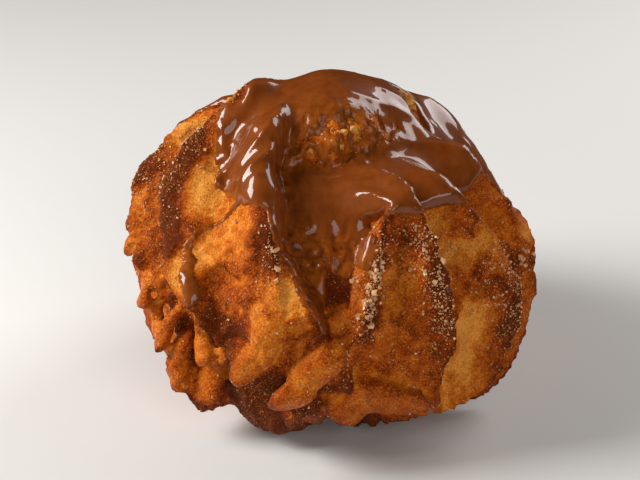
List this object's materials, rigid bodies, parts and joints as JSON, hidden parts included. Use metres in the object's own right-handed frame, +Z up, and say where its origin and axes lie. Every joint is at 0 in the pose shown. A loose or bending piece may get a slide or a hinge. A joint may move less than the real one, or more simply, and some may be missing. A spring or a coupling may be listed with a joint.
{
  "type": "profiterole",
  "caption": "Baked choux bun with deep piped folds, a domed crown under poured chocolate glaze, and a small flat base.",
  "frame": {"origin": "centre of the flat base, on the surface that the bun stands on", "axes": "+Z up, -Y to the front, where the folds sweep together"},
  "size_m": [0.0546, 0.0557, 0.0444],
  "materials": {
    "choux_crust": "baked choux crust: amber to golden brown, tan in the split valleys, dark red-brown on the crests, rough and flaky with a faint egg-wash sheen",
    "glaze": "set milk chocolate glaze, warm brown, smooth and wet-looking",
    "sugar": "coarse sugar crystals, warm and pale, stuck to the crust"
  },
  "bodies": {
    "root": {"choux_bun": "choux_crust", "chocolate_glaze": "glaze"}
  },
  "joints": []
}
